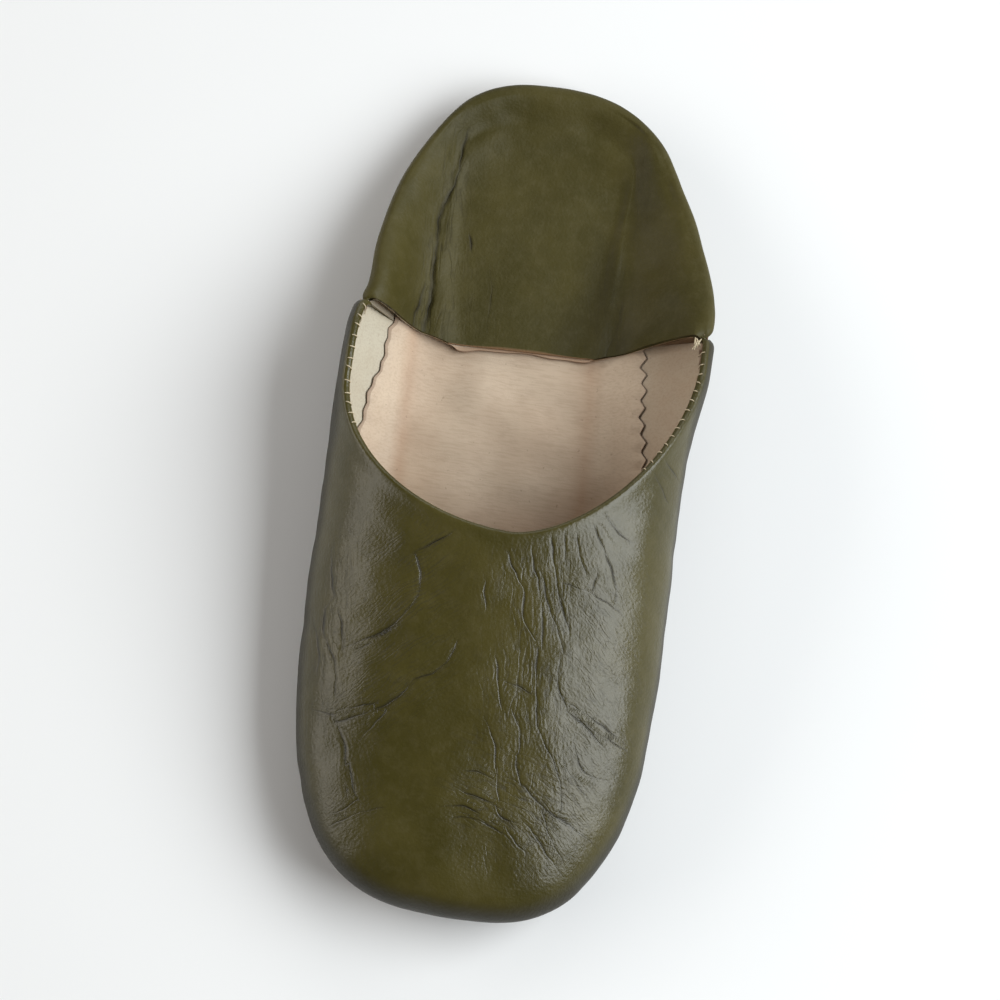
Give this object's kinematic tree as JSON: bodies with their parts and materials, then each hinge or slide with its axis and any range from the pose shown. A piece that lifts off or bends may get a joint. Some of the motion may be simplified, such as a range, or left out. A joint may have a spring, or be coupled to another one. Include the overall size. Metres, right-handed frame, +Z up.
{
  "type": "babouche slipper",
  "caption": "Flat backless leather house slipper with a long closed vamp and its heel folded down inside.",
  "frame": {"origin": "middle of the slipper's box in plan, on the floor under the sole", "axes": "-Y towards the toe, +Y towards the heel, -X the medial (big toe) side, +Z up from the floor"},
  "size_m": [0.11, 0.262, 0.0493],
  "materials": {
    "upper_leather": "semi-gloss olive leather, creased",
    "sock_leather": "matte natural leather",
    "sole_leather": "matte sole leather"
  },
  "bodies": {
    "root": {"outsole": "sole_leather", "insole_sock": "sock_leather", "upper_vamp": "upper_leather", "upper_heel_quarter": "upper_leather"}
  },
  "joints": []
}
